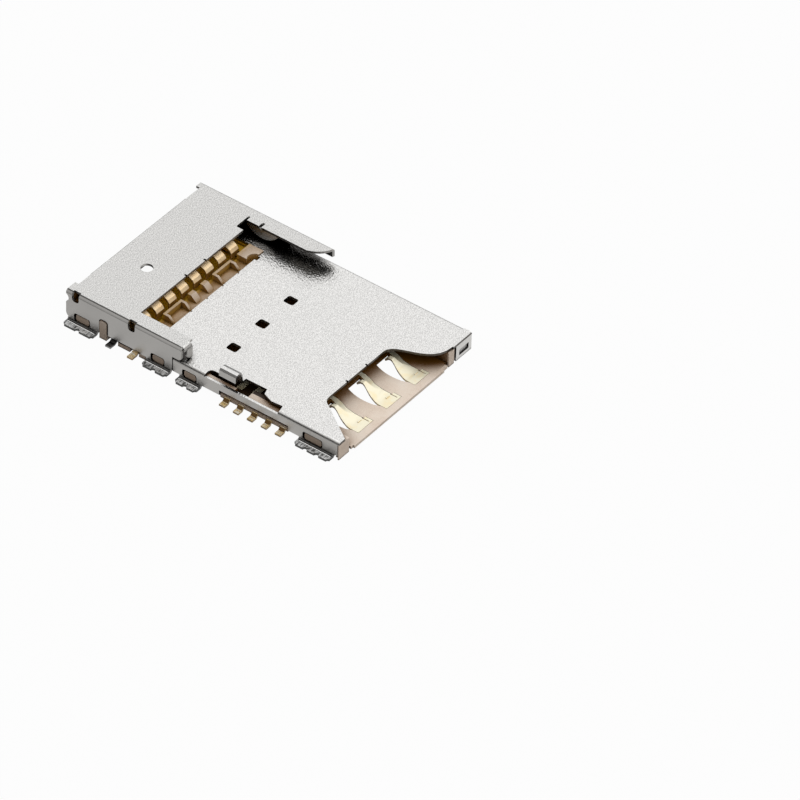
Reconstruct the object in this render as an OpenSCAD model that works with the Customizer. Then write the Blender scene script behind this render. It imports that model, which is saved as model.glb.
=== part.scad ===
// Stacked surface-mount socket: a SIM slot below, a small memory slot above, both open at the front.
// +Y points to the rear, +Z away from the circuit board, and the origin is on the board under the middle.

/* [Body] */
// Width over the metal side walls
body_w = 12.0; // [11.6:0.1:13.2]
// Depth of the SIM section, from the front tab to the seam between the covers
front_l = 11.4; // [10.6:0.1:12.6]
// Depth of the memory section, from the seam to the rear corner tabs
rear_l = 7.4; // [7:0.1:8.2]
// Reach of the moulded sill in front of the front tab
sill_reach = 0.15; // [0.1:0.01:0.25]
// Top of the rear cover above the board
memory_top = 2.15; // [2.05:0.01:2.35]
// Top of the front cover above the board
sim_top = 1.19; // [1.12:0.01:1.24]
// Thickness of the cover sheet
sheet_t = 0.15; // [0.12:0.01:0.17]
// Outer radius of the cover folds
fold_r = 0.2; // [0.18:0.01:0.26]
// Lower edge of the side walls above the board
wall_z = 0.28; // [0.25:0.01:0.32]
// Room between moulded and metal pieces
fit = 0.02; // [0.01:0.005:0.03]

/* [Feet and leads] */
// Reach of the solder feet past the walls
foot_reach = 0.5; // [0.4:0.05:0.65]
// Radius of the scallops between the lobes of a foot
scallop_r = 0.14; // [0.1:0.01:0.18]
// Thickness of the contact sheet
lead_t = 0.12; // [0.1:0.01:0.13]
// Width of a solder lead
lead_w = 0.38; // [0.3:0.02:0.44]
// Reach of the solder leads past the walls
lead_reach = 0.45; // [0.4:0.01:0.55]
// Pitch of the SIM leads along the left wall
lead_pitch = 0.955; // [0.9:0.005:1]

/* [SIM slot] */
// Width of the SIM slot
sim_w = 8.95; // [8.4:0.05:9.5]
// Moulded wall left of the SIM slot
sim_inset = 0.775; // [0.65:0.025:0.9]
// Pitch of the SIM contacts across the slot
sim_pitch = 2.54; // [2.4:0.02:2.6]
// Distance between the two rows of SIM contacts
sim_rows = 7.62; // [7.4:0.02:7.7]
// Height of the SIM contact points
sim_tip_z = 0.72; // [0.6:0.01:0.8]
// Top of the moulded floor
floor_z = 0.3; // [0.28:0.01:0.34]
// Underside of the moulded floor above the board
base_z = 0.12; // [0.08:0.01:0.14]
// Length of a SIM spring from its base to its point
sim_base_l = 2.1; // [2:0.05:2.25]
// Width of the square holes in the front cover
peek_w = 0.62; // [0.4:0.02:0.7]

/* [Memory slot] */
// Pitch of the memory contacts
memory_pitch = 1.1; // [1:0.01:1.15]
// Room from the left wall to the middle of the first memory contact
memory_inset = 1.36; // [1.3:0.02:1.5]
// Width of a memory contact point
memory_tip_w = 0.66; // [0.5:0.02:0.72]
// Width of the solder tail of a memory contact
memory_tail_w = 0.44; // [0.36:0.02:0.5]
// Height of the memory contact points
memory_tip_z = 1.65; // [1.5:0.01:1.75]
// Top of the comb teeth
comb_z = 1.25; // [1.2:0.01:1.3]
// Bore of the round hole in the rear cover
peek_bore = 0.72; // [0.5:0.02:0.9]

/* [Hidden] */
$fn = 48;
eps = 0.01;
over = 1;

plastic = [0.80, 0.72, 0.63];
steel = [0.80, 0.80, 0.79];
gold = [0.86, 0.70, 0.38];
tin = [0.55, 0.55, 0.54];

// Faces that the pieces share
body_l = front_l + rear_l;
wall_x = body_w / 2;
wall_in_x = wall_x - sheet_t;
core_x = wall_in_x - fit;
front_y = -(body_l - sill_reach) / 2;
rear_y = front_y + body_l;
seam_y = front_y + front_l;
sill_y = front_y - sill_reach;
plate_under = sim_top - sheet_t;
plate_mid = sim_top - sheet_t / 2;
roof_under = memory_top - sheet_t;
roof_mid = memory_top - sheet_t / 2;
core_z = plate_under - fit;
far_z = memory_top + 1;

// SIM slot and its contacts: front row 1 to 3, rear row 4 to 6
slot_left = -core_x + sim_inset;
slot_right = slot_left + sim_w;
sim_mid_x = (slot_left + slot_right) / 2;
sim_row_l = 2.45;
sim_row_y = front_y + sim_row_l;
sim_tail_l = 3.8;
sim_tail_y = [for (i = [0:4]) front_y + sim_tail_l + lead_pitch * i];
track_z = floor_z - lead_t;
sim_base_x = [-0.66, 0.64];
sim_tip_x = [-0.16, 0.08];
sim_slit_x = [0.42, 0.47];
sim_slit_y = [0.12, 0.6];
sim_neck = [0.5, 0.7, 0.8];
sim_rise = [0.65, 0.8];
sim_mark_r = 0.15;
lane_left = [[0.2, -sim_base_l], [0.2, -1], [0.28, -0.2], [0.55, 0.45], [0.64, 0.7]];
lane_right = [[0.62, -sim_base_l], [0.47, -1.55], [0.47, -1], [0.58, -0.35], [0.8, 0.15], [0.91, 0.6]];

// Memory contacts, cross bar, comb and the window over them
window_l = 4.4;
comb_l = 5.75;
window_y = rear_y - window_l;
plate_rear_y = rear_y - comb_l;
memory_tip_y = window_y + 0.5;
bar_l = [2.9, 2.2];
bar_y = [rear_y - bar_l[0], rear_y - bar_l[1]];
stem_y = bar_y[1] - 0.2;
tail_y = bar_y[1] + 0.95;
comb_y = [plate_rear_y - 0.5, window_y - 0.4];
comb_low_z = comb_z - 0.4;
comb_wall = 0.15;
tooth_spans = [[1.9, 3.36], [3.9, 4.3], [4.9, 5.3], [5.85, 7.32]];

function memory_x(i) = -core_x + memory_inset + (i - 1) * memory_pitch;
function sim_x(i) = sim_mid_x + ((i - 1) % 3 - 1) * sim_pitch;
function sim_y(i) = sim_row_y + (i > 3 ? sim_rows : 0);
function sim_tail(i) =
    i < 4 ? sim_tail_y[i - 1] : i == 5 ? sim_tail_y[3] : i == 4 ? sim_tail_y[4] : right_lead_y;

comb_x = [memory_x(1) - memory_tip_w / 2 - comb_wall - 0.05, memory_x(8) + 1.02];

// Rails of the rear cover and the gap in the right wall between the covers
rail_l = 9.35;
gap_l = [7.14, 6.4];
rail_left_x = -wall_x + 1.03;
rail_right_x = wall_x - 1.1;
rail_left_y = seam_y - 0.62;
rail_right_y = rear_y - rail_l;
rail_step = 0.24;
rail_drop = 0.55;
tongue_x = [-wall_x + 0.32, rail_left_x - rail_step];
gap_front_y = rear_y - gap_l[0];
gap_rear_y = rear_y - gap_l[1];
gap_sill = 0.62;
gap_deep = 0.3;
strip_x = wall_x - 0.24;

// Rows along the side walls, each [front end, rear end]
rear_foot = [rear_y - 2.17, rear_y - 0.12];
seam_foot = [seam_y + 0.1, seam_y + 1.8];
middle_foot = [seam_y - 1.97, seam_y - 0.5];
front_foot = [front_y + 0.35, front_y + 2.7];
right_foot_l = [3.55, 1.95];
right_middle_foot = [seam_y - right_foot_l[0], seam_y - right_foot_l[1]];
right_rear_foot = [gap_rear_y + 0.1, gap_rear_y + 1.87];
right_lead_y = right_middle_foot[0] - lead_w / 2 - 0.06;
latch_1 = [rear_y - 1.68, rear_y - 0.56];
latch_2 = [seam_y + 0.53, seam_y + 1.5];
latch_3 = [seam_y - 1.69, seam_y - 0.69];
latch_4 = [front_y + 1.1, front_y + 2.45];
right_latch_2 = [gap_rear_y + 0.53, gap_rear_y + 1.5];
right_latch_3 = [seam_y - 3.2, seam_y - 2.2];
latch_z = [sheet_t + 0.09, wall_z + 0.5];
latch_r = 0.14;
latch_recess = 0.06;
boss_gap = 0.1;
key_proud = 0.06;
key_gap = 0.07;
relief_l = [0.65, 4.56];
relief_y = [rear_y - relief_l[0], rear_y - relief_l[1]];
relief_w = 0.48;
relief_h = 0.6;
relief_deep = 0.45;
scallop_in = 0.14;
key_l = [2.94, 2.31];
key_slot = [rear_y - key_l[0], rear_y - key_l[1]];
key_top = 1.32;
key_r = 0.22;
lead_notch = [sim_tail_y[0] - 0.37, sim_tail_y[4] + 0.54];
lead_notch_h = 0.32;
shelf_z = floor_z + 0.08;
ledge_drop = 0.14;
ledge_w = 0.2;
detect_l = [4.8, 3.28];
detect_y = [rear_y - detect_l[0], rear_y - detect_l[1]];
detect_notch = [detect_y[0] - 0.4, detect_y[1] + 0.38];
switch_x = -core_x + 0.48;
switch_z = memory_tip_z - 0.15;
finger_h = 0.38;
finger_bow = 0.14;
finger_l = [0.4, 0.8, 1.1];
pad_w = 0.6;
pad_1 = [detect_y[0] + 0.35, detect_y[1] - 0.34];
pad_2 = [seam_foot[1] + 0.06, detect_y[0] - 0.28];

// Front tab, finger cut-out and guide tab of the front cover
tab_step = 0.665;
front_tab_x = [slot_right + tab_step, wall_x - 0.04];
tab_gap = 0.18;
tab_recess = 0.08;
tab_l = 0.5;
end_t = 0.09;
seam_gap = 0.06;
mouth_l = 2.77;
mouth_y = front_y + mouth_l;
guide_y = [sim_tail_y[4] - 0.42, sim_tail_y[4] + 0.72];
guide_x = -wall_x + 0.82;
guide_t = sheet_t - 0.03;
guide_crest = sim_top + 0.68;
opening_x = guide_x + 0.32;
slant_x = [0.37, 0.36];
plate_ear = 0.4;
opening_y = [sim_tail_y[0] + 0.36, sim_tail_y[4] + 1.56];

// Outline of a bent strip whose middle line runs through the points p
function unit(v) = v / norm(v);
function left_of(v) = [-v[1], v[0]];
function mitre(p, i) =
    let (
        a = i > 0 ? unit(p[i] - p[i - 1]) : unit(p[1] - p[0]),
        b = i < len(p) - 1 ? unit(p[i + 1] - p[i]) : a,
        m = unit(left_of(a) + left_of(b))
    ) m / (m * left_of(b));
function strip_side(p, d) = [for (i = [0:len(p) - 1]) p[i] + d * mitre(p, i)];
function reversed(p) = [for (i = [len(p) - 1:-1:0]) p[i]];
function bezier(a, b, c, d, n) = [
    for (i = [0:n]) let (t = i / n, s = 1 - t)
        s * s * s * a + 3 * s * s * t * b + 3 * s * t * t * c + t * t * t * d
];
function grown(r, d) = [r[0] - d, r[1] + d];
function about(c, d) = [c - d, c + d];

module strip(p, t) {
    polygon(concat(strip_side(p, t / 2), reversed(strip_side(p, -t / 2))));
}

module box(x, y, z) {
    translate([x[0], y[0], z[0]]) cube([x[1] - x[0], y[1] - y[0], z[1] - z[0]]);
}

module rect(x, y) {
    translate([x[0], y[0]]) square([x[1] - x[0], y[1] - y[0]]);
}

module round_rect(x, y, r) {
    rect(grown(x, -r), y);
    rect(x, grown(y, -r));
    for (u = grown(x, -r), v = grown(y, -r)) translate([u, v]) circle(r);
}

// What a round corner takes off a square one whose corner is at the origin
module corner_waste(r) {
    difference() {
        translate([-eps, -eps]) square(r + eps);
        translate([r, r]) circle(r);
    }
}

// A flat shape in X and Y raised through a range of heights
module along_z(z) {
    translate([0, 0, z[0]]) linear_extrude(z[1] - z[0]) children();
}

// A profile in X and Z drawn out along Y
module along_y(y) {
    translate([0, y[1], 0]) rotate([90, 0, 0]) linear_extrude(y[1] - y[0]) children();
}

// A profile in Y and Z drawn out along X
module along_x(x) {
    translate([x[0], 0, 0]) rotate([90, 0, 90]) linear_extrude(x[1] - x[0]) children();
}

module on_right() {
    mirror([1, 0, 0]) children();
}

module both_sides() {
    children();
    on_right() children();
}

// Section of a folded cover: roof and two walls with round outer folds
module cover_section(top) {
    difference() {
        union() {
            rect([-wall_x, wall_x], [wall_z, top - fold_r]);
            rect([-wall_x + fold_r, wall_x - fold_r], [wall_z, top]);
            for (s = [-1, 1]) translate([s * (wall_x - fold_r), top - fold_r]) circle(fold_r);
        }
        rect([-wall_in_x, wall_in_x], [wall_z - 1, top - sheet_t]);
    }
}

// A profile in Y and Z cut through the left wall
module through_wall() {
    along_x([-wall_x - over, -core_x]) children();
}

// Solder foot folded out of the left wall, with scallops between its lobes
module foot(y, lobes) {
    lobe = (y[1] - y[0]) / lobes;
    outer = -wall_x - foot_reach;
    upright = -wall_x + sheet_t / 2;
    difference() {
        along_y(y) strip([
            [upright, wall_z + eps], [upright, sheet_t], [-wall_x, sheet_t / 2], [outer, sheet_t / 2]
        ], sheet_t);
        along_z([-1, wall_z])
            for (i = [0:lobes]) translate([outer, y[0] + i * lobe]) circle(scallop_r);
    }
}

// Latch window in the left wall, and the moulded boss that fills it
module latch_window(y) {
    through_wall() round_rect(y, latch_z, latch_r);
}

module latch_boss(y) {
    along_x([-wall_x + latch_recess, -core_x + sim_inset / 2])
        round_rect(grown(y, -boss_gap), [latch_z[0] + fit, latch_z[1] - boss_gap], latch_r);
}

// Slot for the moulded key beside the upper slot, open at the bottom
module key_outline(room) {
    y = grown(key_slot, -room);
    round_rect(y, [key_top - 3.2 * key_r, key_top - room], key_r - room);
    rect(y, [0, key_top - 1.4 * key_r]);
}

// Outline of the finger cut-out at the mouth of the front cover
module mouth_outline() {
    start = [slot_left - 0.395, front_y];
    corner = [slot_left + 1.305, mouth_y - 0.3];
    turned = [slot_left + 1.855, mouth_y];
    end = [slot_right + 0.405, front_y + 0.07];
    turn = bezier(start + (corner - start) * 0.93, corner, [corner[0] + 0.05, mouth_y], turned, 6);
    wave = bezier(
        [slot_right - 2.295, mouth_y], [slot_right - 1.145, mouth_y], [slot_right - 1.645, end[1]], end, 12
    );
    polygon(concat([[end[0], front_y - over], [start[0], front_y - over], start], turn, wave));
    for (x = [sim_mid_x - 1.02, sim_mid_x + 0.73]) rect(about(x, 0.06), [mouth_y - eps, mouth_y + 0.12]);
}

// Outline of the opening round the curled guide tab, through the fold: an arch behind it and a slant in front
module guide_opening() {
    outside = -wall_x - over;
    arch_x = -wall_x + 0.58;
    arch_r = 0.26;
    slant_y = [sim_tail_y[1] + 0.23, sim_tail_y[1] + 0.88];
    round_rect([outside, arch_x], [guide_y[1] - 0.5, opening_y[1]], arch_r);
    rect([outside, guide_x], grown(guide_y, 0.1));
    polygon([
        [outside, guide_y[0]], [opening_x, guide_y[0]], [opening_x + 0.02, slant_y[1] + 0.13],
        [opening_x - slant_x[0], slant_y[1]], [arch_x - 0.06, slant_y[0]], [arch_x, opening_y[0] + 0.09],
        [arch_x - slant_x[1], opening_y[0]], [outside, opening_y[0]]
    ]);
}

module front_cover() color(steel) {
    difference() {
        union() {
            along_y([front_y, seam_y - seam_gap]) cover_section(sim_top);
            intersection() {
                along_y([seam_y - over, gap_front_y]) cover_section(sim_top);
                box([strip_x, wall_x + over], [seam_y - over, gap_rear_y], [0, far_z]);
            }
            along_z([plate_under, sim_top]) {
                rect([-core_x, core_x], [seam_y - over, plate_rear_y]);
                rect([-core_x, comb_x[0] - fit], [seam_y - over, plate_rear_y + plate_ear]);
                rect([comb_x[1] + fit, core_x], [seam_y - over, bar_y[1]]);
            }
            foot(middle_foot, 2);
            on_right() foot(right_middle_foot, 2);
            both_sides() foot(front_foot, 3);
        }
        along_z([plate_under - eps, far_z]) {
            mouth_outline();
            guide_opening();
            for (i = [4:6]) translate([sim_x(i) - 0.1, sim_y(i) - 0.75])
                round_rect(about(0, peek_w / 2), about(0, peek_w / 2 + 0.03), latch_r);
            for (k = [3:1.27:7]) rect(about(memory_x(k), 0.06), [plate_rear_y - 0.08, plate_rear_y + eps]);
            rect([memory_x(8.15), memory_x(8.47)], [plate_rear_y - 0.16, plate_rear_y + eps]);
        }
        latch_window(latch_3);
        on_right() latch_window(right_latch_3);
        both_sides() latch_window(latch_4);
        through_wall() rect(lead_notch, [0, wall_z + lead_notch_h]);
        on_right() through_wall() rect(about(right_lead_y, lead_w), [0, wall_z + 0.1]);
        box([strip_x, wall_x + eps], [gap_front_y, gap_rear_y], [0, memory_top]);
        box([-wall_x - over, 0], [front_y - over, front_y + end_t], [0, plate_under]);
        box(
            [front_tab_x[0] - 0.3, wall_x + over],
            [front_y - over, front_y + sheet_t + fit],
            [0, plate_under]
        );
    }
    guide_tab();
    front_tab();
}

// Spring tab that rises from the edge of the opening and curls over to the outside
module guide_tab() {
    x = guide_x;
    crest = guide_crest;
    along_y(guide_y) strip([
        [x + 0.2, plate_mid], [x + 0.08, plate_mid], [x - 0.02, plate_mid + 0.1], [x - 0.06, crest - 0.25],
        [x - 0.14, crest - 0.05], [x - 0.28, crest], [x - 0.45, crest - 0.03], [x - 0.53, crest - 0.11],
        [x - 0.55, crest - 0.45]
    ], guide_t);
}

// Tab folded down in front of the right end block, with a pressed recess
module front_tab() {
    x = front_tab_x;
    w = x[1] - x[0];
    y = front_y + sheet_t / 2;
    difference() {
        along_x(x) strip([
            [front_y + tab_l, plate_mid], [y + 0.085, plate_mid], [y + 0.025, plate_mid - 0.03],
            [y, plate_under - 0.06], [y, 0]
        ], sheet_t);
        along_y([front_y - sheet_t, front_y + tab_recess])
            round_rect([x[0] + w * 0.2, x[1] - w * 0.19], [latch_z[0], latch_z[0] + 0.4], 0.05);
    }
}

module rear_cover() color(steel) {
    difference() {
        union() {
            difference() {
                along_y([rail_right_y, rear_y]) cover_section(memory_top);
                along_z([0, far_z]) roof_cuts();
                along_z([0, memory_top - rail_drop])
                    rect([rail_right_x, wall_x + rail_step], [rail_right_y - rail_step, gap_rear_y]);
                box([-2 * wall_x, 0], [rail_right_y - rail_step, rail_left_y], [0, far_z]);
                box([-wall_x - over, 0], [rail_left_y - eps, seam_y], [0, sim_top + 0.06]);
            }
            rear_flange();
            rail_tongue();
            detent_tongue();
            both_sides() foot(rear_foot, 2);
            foot(seam_foot, 2);
            on_right() foot(right_rear_foot, 2);
        }
        for (y = relief_y) along_x([-wall_x - over, -wall_x + fold_r + 0.05])
            round_rect(about(y, relief_w / 2), [memory_top - relief_h, far_z], 0.18);
        through_wall() key_outline(0);
        through_wall() translate([rear_y + scallop_in, 1.6]) circle(0.32);
        through_wall() translate([rear_y, wall_z]) mirror([1, 0]) corner_waste(0.35);
        through_wall() translate([rail_left_y, sim_top + 0.06]) corner_waste(0.22);
        through_wall() translate([rail_left_y, memory_top]) mirror([0, 1]) corner_waste(0.12);
        both_sides() latch_window(latch_1);
        latch_window(latch_2);
        on_right() latch_window(right_latch_2);
        through_wall() rect(detect_notch, [0, wall_z + 0.08]);
    }
}

// What is cut out of the roof of the rear cover
module roof_cuts() {
    hook_x = rail_right_x + 0.38;
    rect([rail_left_x, rail_right_x], [rail_right_y - 1, window_y]);
    rect([tongue_x[1], rail_left_x + 1], [rail_right_y - 1, rail_left_y + 0.06]);
    rect([-wall_in_x, tongue_x[1] + eps], [rail_left_y - 1, rail_left_y + 0.14]);
    polygon(concat(
        [[wall_x + over, rail_right_y - 1], [rail_right_x - eps, rail_right_y - 1]],
        bezier(
            [rail_right_x - eps, rail_right_y + 1.18], [rail_right_x + 0.15, rail_right_y + 0.72],
            [wall_x - 0.65, rail_right_y + 0.17], [wall_x + 0.1, rail_right_y], 8
        )
    ));
    round_rect([rail_right_x - 0.8, rail_right_x + eps], about(window_y, 0.5), 0.1);
    round_rect([rail_right_x - 0.3, hook_x - 0.04], [window_y + 0.36, window_y + 0.5], 0.06);
    round_rect([rail_right_x - 0.1, hook_x], [window_y - 0.65, window_y - 0.47], 0.07);
    for (k = [4.2, 5.75]) rect(about(memory_x(k), 0.06), [window_y - eps, window_y + 0.14]);
    rect([-wall_x + 0.8, wall_x - 0.5], [rear_y - 0.25, rear_y + 1]);
    translate([memory_x(3.44), rear_y - 2.3]) circle(d = peek_bore);
}

// Stiffening flange folded down along the rear edge
module rear_flange() {
    y = rear_y - 0.15 - sheet_t / 2;
    along_x([-wall_x + 1.92, wall_x - 1.72]) strip([
        [y - 0.33, roof_mid], [y - 0.085, roof_mid], [y - 0.025, roof_mid - 0.03],
        [y, roof_mid - 0.14], [y, memory_top - 0.55]
    ], sheet_t);
}

// Guide tongue folded down at the front end of the left rail
module rail_tongue() {
    y = rail_left_y;
    x = tongue_x;
    low = sim_top + 0.06;
    curl = [
        [y + 0.24, roof_mid], [y + 0.08, roof_mid], [y - 0.01, roof_mid - 0.03],
        [y - 0.07, roof_mid - 0.09], [y - 0.1, roof_mid - 0.18]
    ];
    along_x([-wall_in_x - eps, x[0] + eps]) strip(curl, sheet_t);
    difference() {
        along_x(x) strip(concat(curl, [[y - 0.1, low]]), sheet_t);
        along_y([y - 1, y + 0.06]) {
            polygon([[x[0] - 1, low - 1], [x[0] - 1, low + 1.24], [x[0] + 0.2, low]]);
            polygon([[x[1] + 1, low - 1], [x[1] + 1, low + 1.24], [x[1] - 0.1, low]]);
        }
    }
}

// Half-moon tongue that hangs from the inner edge of the right rail
module detent_tongue() {
    half = 1.1;
    drop = 0.6;
    r = (half * half + drop * drop) / (2 * drop);
    along_x([rail_right_x, rail_right_x + 0.12]) intersection() {
        translate([window_y - 0.7, roof_under - drop + r]) circle(r);
        rect([window_y - 2, window_y + 0.34], [0, roof_under + eps]);
    }
}

module housing() color(plastic) {
    difference() {
        union() {
            along_z([base_z, floor_z]) floor_outline();
            slot_walls();
            end_blocks();
            rear_frame();
            rest_pads();
            both_sides() latch_boss(latch_1);
            both_sides() latch_boss(latch_4);
            latch_boss(latch_2);
            latch_boss(latch_3);
            on_right() latch_boss(right_latch_2);
            on_right() latch_boss(right_latch_3);
            along_x([-wall_x - key_proud, -core_x + sim_inset / 2]) key_outline(key_gap);
            lead_shelf();
        }
        for (i = [1:6]) sim_contact_shape(i, fit);
        for (i = [1:8]) memory_contact_shape(i, fit);
        box(grown(comb_x, fit), grown([comb_y[0], bar_y[1]], fit), [floor_z, far_z]);
        detect_spring_shape(fit);
        detect_terminal_shape(fit);
        box([core_x - gap_deep, wall_x + over], [gap_front_y - 0.1, gap_rear_y], [gap_sill, far_z]);
        for (y = relief_y)
            box(
                [-wall_x, -core_x + relief_deep],
                about(y, relief_w / 2),
                [memory_top - relief_h - 0.1, far_z]
            );
        guide_pocket();
        box([-wall_x, -core_x + 0.25], lead_notch, [shelf_z, wall_z + lead_notch_h + 0.1]);
    }
}

// The floor with its contact windows and the opening under the rear of the upper slot
module floor_outline() {
    difference() {
        union() {
            rect([-core_x, core_x], [front_y + sheet_t + fit, rear_y - 0.35]);
            rect([slot_left + 0.3, slot_right - 0.6], [sill_y, front_y + 1]);
            rect([slot_left + 0.12, slot_left + 0.55], [sill_y + 0.1, front_y + 1]);
            rect([slot_right - 0.75, slot_right - 0.2], [sill_y + 0.08, front_y + 1]);
        }
        for (i = [1:6]) translate([sim_x(i), sim_y(i)]) sim_window();
        rect([comb_x[0] + 0.3, comb_x[1] - 0.1], [bar_y[1], rear_y - 0.6]);
    }
}

// Window in the floor under a SIM spring: an S-curved left edge, and the lane on the right
module sim_window() {
    polygon(concat(
        bezier([-0.59, 0.65], [-0.9, -0.05], [-0.92, -0.5], [-0.89, -0.95], 6),
        [[-0.84, -1.35], [-0.68, -1.75], [0.12, -1.7], [0.12, -1], [0.2, -0.2], [0.47, 0.47], [0.5, 0.65]]
    ));
}

// Walls beside the SIM slot, up to the underside of the front cover, the right one hollowed from above
module slot_walls() {
    wall = (core_x - slot_right) / 4;
    along_z([base_z, core_z]) {
        rect([-core_x, slot_left], [front_y + sheet_t + fit, bar_y[1]]);
        difference() {
            rect([slot_right, core_x], [front_y + sheet_t + fit, rear_y - 0.6]);
            rect(grown([slot_right, core_x], -wall), [front_y + 1.2, right_middle_foot[0] + 0.55]);
        }
    }
}

// Blocks at the mouth that close the ends of the front cover
module end_blocks() {
    along_z([0, core_z]) {
        rect([-wall_x + fit, slot_left], [front_y, front_y + end_t - fit]);
        rect([-core_x, slot_left], [front_y, front_y + 0.3]);
        rect([slot_right, front_tab_x[0] - tab_gap], [front_y, front_y + 0.3]);
    }
}

// Frame round the rear of the upper slot: side guides and the end stop
module rear_frame() {
    back = [rear_y - 0.6, rear_y - 0.35];
    guide = 0.28;
    along_z([base_z, core_z]) rect([-core_x, -core_x + 0.4], [seam_y, back[1]]);
    along_z([base_z, roof_under - fit]) {
        rect([-core_x, core_x], back);
        rect([-core_x, -core_x + guide], [bar_y[1] + 0.15, back[1]]);
        rect([core_x - guide, core_x], [bar_y[1] + 0.15, back[1]]);
    }
}

// Strip of the floor that shows in the notch above the SIM leads
module lead_shelf() {
    along_z([base_z, shelf_z]) rect([-wall_x + latch_recess, -core_x + 0.3], grown(lead_notch, -0.05));
}

// Room in the left slot wall for the guide tab, and the groove beside the wall in front of it
module guide_pocket() {
    low = floor_z + 0.15;
    box([-core_x + ledge_w, slot_left + eps], [guide_y[0] - 0.12, opening_y[1] + 0.05], [low, far_z]);
    box([-core_x + 0.12, slot_left + eps], [guide_y[0] - 0.8, guide_y[0]], [low, far_z]);
    box([-core_x - eps, -core_x + 0.12], [guide_y[0] - 1.9, guide_y[0] - 0.85], [shelf_z + 0.4, far_z]);
    box([-core_x - eps, slot_left + eps], [opening_y[0], guide_y[0]], [core_z - ledge_drop, far_z]);
}

// Pads beside the switch leads that rest on the board
module rest_pads() {
    along_z([0, floor_z]) {
        rect([-core_x, -core_x + pad_w], pad_1);
        rect([-core_x, -core_x + pad_w], pad_2);
    }
    along_z([0, wall_z - fit]) {
        rect([-wall_x + fit, -core_x + eps], pad_1);
        rect([-wall_x + fit, -core_x + eps], pad_2);
    }
}

module memory_insulator() color(plastic) {
    bed_z = floor_z + fit;
    difference() {
        union() {
            along_z([bed_z, comb_low_z]) rect(comb_x, [comb_y[0], bar_y[1]]);
            along_z([bed_z, core_z]) rect(comb_x, bar_y);
            along_z([bed_z, core_z]) rect(comb_x, [comb_y[0], plate_rear_y - 0.2]);
            for (s = tooth_spans) tooth(s[0], s[1]);
            end_tooth();
        }
        along_z([0, far_z]) rect([comb_x[0] + comb_wall, memory_x(8) + 0.55], [comb_y[1] + 0.1, bar_y[0]]);
        for (i = [1:8]) memory_contact_shape(i, fit);
    }
}

// Comb tooth in front of the contacts from a to b: short and steep, or wide with a hollow in front of its rim
module tooth(a, b) {
    wide = b - a > 0.9;
    x = [memory_x(a), memory_x(b)];
    y = [comb_y[1] - (wide ? 0.75 : 0.6), comb_y[1] + 0.05];
    rim = 0.16;
    difference() {
        along_z([comb_low_z - 0.1, comb_z]) rect(x, y);
        along_x(grown(x, 1)) polygon([
            [y[0] - eps, comb_low_z], [y[0] + 0.42, comb_z + eps], [y[0] - eps, comb_z + eps]
        ]);
        if (wide) along_z([comb_low_z, far_z]) rect(grown(x, -rim), [y[0] - 1, y[1] - rim]);
    }
}

// Flat block at the right end of the comb with a round scoop in its front corner
module end_tooth() {
    x = [memory_x(7.88), comb_x[1]];
    difference() {
        along_z([comb_low_z - 0.1, comb_z]) rect(x, [plate_rear_y + fit, comb_y[1] + 0.05]);
        along_z([comb_low_z, far_z]) translate([x[0] + 0.3, plate_rear_y]) circle(0.42);
    }
}

// Stamped contact of the upper slot: solder tail, stem in the cross bar, beam and lead-in
module memory_contact_shape(i, room) {
    t = lead_t;
    beam_z = core_z - t;
    tip = memory_tip_z - t / 2;
    path = [
        [tail_y, t / 2], [stem_y + 0.16, t / 2], [stem_y + 0.04, t / 2 + 0.04], [stem_y, t / 2 + 0.16],
        [stem_y, beam_z - 0.2], [stem_y - 0.07, beam_z - 0.06], [stem_y - 0.22, beam_z],
        [bar_y[0] - 0.1, beam_z + 0.06], [memory_tip_y + 0.22, tip - 0.08], [memory_tip_y + 0.08, tip],
        [memory_tip_y - 0.1, tip - 0.01], [memory_tip_y - 0.46, tip - 0.2], [memory_tip_y - 0.56, tip - 0.36],
        [memory_tip_y - 0.6, tip - 0.7]
    ];
    half = memory_tip_w / 2 + room;
    tail_half = memory_tail_w / 2 + room;
    shoulder_y = memory_tip_y + 0.3;
    plan = [
        [half, comb_y[0]], [half, shoulder_y], [tail_half, bar_y[0]], [tail_half, tail_y + 1]
    ];
    translate([memory_x(i), 0, 0]) intersection() {
        along_x([-half, half]) strip(path, t + 2 * room);
        along_z([-1, far_z]) polygon(concat(plan, reversed([for (p = plan) [-p[0], p[1]]])));
    }
}

module memory_contact(i) color(gold) memory_contact_shape(i, 0);

// Flat track of a SIM contact in the floor, from its base to the lead
module sim_track(i, room) {
    w = lead_w / 2 + room;
    x = sim_x(i);
    y = sim_y(i);
    base_y = y - sim_base_l;
    tail = sim_tail(i);
    lane = [lane_left[4][0], lane_right[5][0]];
    translate([x, y]) rect(grown(sim_base_x, room), [-sim_base_l - room, -sim_base_l + 0.5]);
    if (i < 4) {
        translate([x, y]) polygon(concat(
            [for (p = lane_left) p - [room, 0]], reversed([for (p = lane_right) p + [room, 0]])
        ));
        rect(grown([x + lane[0], x + lane[1]], room), [y + lane_right[5][1], tail + w]);
        rect([-core_x - 0.05, x + lane[1] + room], about(tail, w));
    } else {
        rect(about(x, w), [min(tail, base_y) - w, max(tail, base_y) + w]);
        if (i < 6) rect([-core_x - 0.05, x + w], about(tail, w));
        else rect([x - w, core_x + 0.05], about(tail, w));
    }
}

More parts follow.
